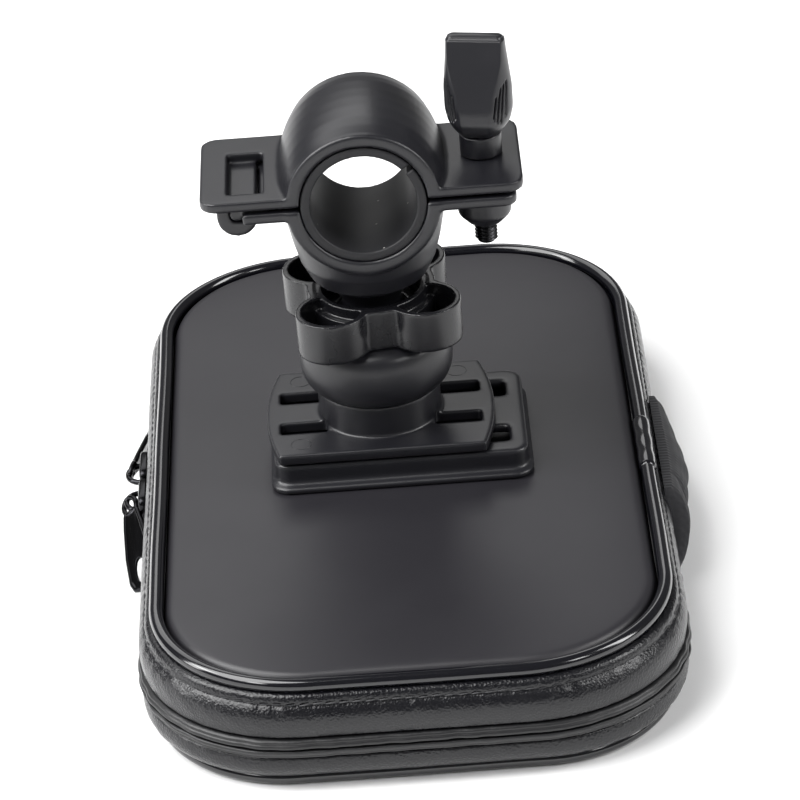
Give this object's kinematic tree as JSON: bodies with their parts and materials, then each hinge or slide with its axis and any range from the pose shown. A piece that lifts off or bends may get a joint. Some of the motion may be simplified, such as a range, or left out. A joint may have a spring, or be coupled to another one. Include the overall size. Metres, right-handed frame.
{
  "type": "bicycle phone mount",
  "caption": "Zipped touch-window phone bag on a four-claw plate, with a swivelling ball socket, clover ring nut and split handlebar clamp closed by a thumb screw.",
  "frame": {"origin": "middle of the handlebar bore of the clamp", "axes": "+Y along the bar bore away from the zip pullers' end, +Z from the bag up to the clamp, +X towards the thumb screw"},
  "size_m": [0.1248, 0.1856, 0.1207],
  "materials": {
    "clear_film": "clear glossy film",
    "frame_plastic": "matte",
    "leatherette": "fine grain",
    "piping": "glossy",
    "zip_tape": "coated",
    "knit": "knit",
    "shell": "smooth matte",
    "mount_plastic": "satin",
    "slider_metal": "black gloss",
    "seat_plastic": "satin",
    "ring_plastic": "satin gloss",
    "rubber": "matte",
    "screw_steel": "black oxide",
    "knob_plastic": "satin"
  },
  "bodies": {
    "window_half": {"window_frame": "frame_plastic", "window_panel": "clear_film", "lower_wall": "leatherette", "lower_piping": "piping", "lower_zip_coil": "zip_tape", "hinge_fabric_lower": "knit"},
    "back_half": {"back_shell": "shell", "upper_wall": "leatherette", "upper_piping": "piping", "piping_splice": "piping", "upper_zip_coil": "zip_tape", "hinge_fabric_upper": "knit", "base_plate": "mount_plastic"},
    "front_slider": {"front_zip_slider": "slider_metal"},
    "rear_slider": {"rear_zip_slider": "slider_metal"},
    "front_puller": {"front_zip_puller": "slider_metal"},
    "rear_puller": {"rear_zip_puller": "slider_metal"},
    "adapter": {"adapter_plate": "mount_plastic", "socket_housing": "mount_plastic"},
    "ring": {"ring_nut": "ring_plastic"},
    "seat": {"ball_seat": "seat_plastic"},
    "lower_jaw": {"clamp_lower": "mount_plastic", "rubber_liner": "rubber", "captive_nut": "screw_steel"},
    "upper_jaw": {"clamp_upper": "mount_plastic"},
    "bushing": {"knob_bushing": "mount_plastic"},
    "thumb_screw": {"thumb_bolt": "screw_steel", "thumb_knob": "knob_plastic"}
  },
  "joints": [
    {"name": "bag_hinge", "type": "hinge", "parent": "window_half", "child": "back_half", "pos_m": [0.0658, 0, -0.0797], "axis": [0, 1, 0], "range_deg": [0, 95]},
    {"name": "front_slider_run", "type": "slide", "parent": "window_half", "child": "front_slider", "axis": [0, -1, 0], "range_m": [0, 0.035]},
    {"name": "rear_slider_run", "type": "slide", "parent": "window_half", "child": "rear_slider", "axis": [0, 1, 0], "range_m": [0, 0.03]},
    {"name": "front_puller_swing", "type": "hinge", "parent": "front_slider", "child": "front_puller", "pos_m": [-0.0563, 0.00635, -0.0797], "axis": [0, -0.2164, 0.9763], "range_deg": [-150, 0]},
    {"name": "rear_puller_swing", "type": "hinge", "parent": "rear_slider", "child": "rear_puller", "pos_m": [-0.0563, 0.01805, -0.0797], "axis": [0, 0.2164, 0.9763], "range_deg": [0, 150]},
    {"name": "adapter_slide", "type": "slide", "parent": "back_half", "child": "adapter", "axis": [1, 0, 0], "range_m": [0, 0.006]},
    {"name": "ring_nut_turn", "type": "hinge", "parent": "adapter", "child": "ring", "pos_m": [0, 0, -0.03], "axis": [0, 0, 1], "continuous": true},
    {"name": "socket_swivel", "type": "hinge", "parent": "adapter", "child": "seat", "pos_m": [0, 0, -0.0365], "axis": [0, 0, 1], "continuous": true},
    {"name": "ball_tilt", "type": "hinge", "parent": "seat", "child": "lower_jaw", "pos_m": [0, 0, -0.0365], "axis": [1, 0, 0], "range_deg": [-8, 8]},
    {"name": "jaw_hinge", "type": "hinge", "parent": "lower_jaw", "child": "upper_jaw", "pos_m": [-0.0262, 0, -0.0026], "axis": [0, -1, 0], "range_deg": [0, 5.5]},
    {"name": "screw_lift", "type": "slide", "parent": "lower_jaw", "child": "bushing", "axis": [0, 0, 1], "range_m": [0, 0.0064]},
    {"name": "thumb_screw_turn", "type": "hinge", "parent": "bushing", "child": "thumb_screw", "pos_m": [0.025, 0, 0.01], "axis": [0, 0, 1], "range_deg": [0, 2880]}
  ],
  "couplings": [
    {"joint": "thumb_screw_turn", "follows": "screw_lift", "rad_per_m": 7854},
    {"joint": "jaw_hinge", "follows": "screw_lift", "rad_per_m": 14.999}
  ]
}
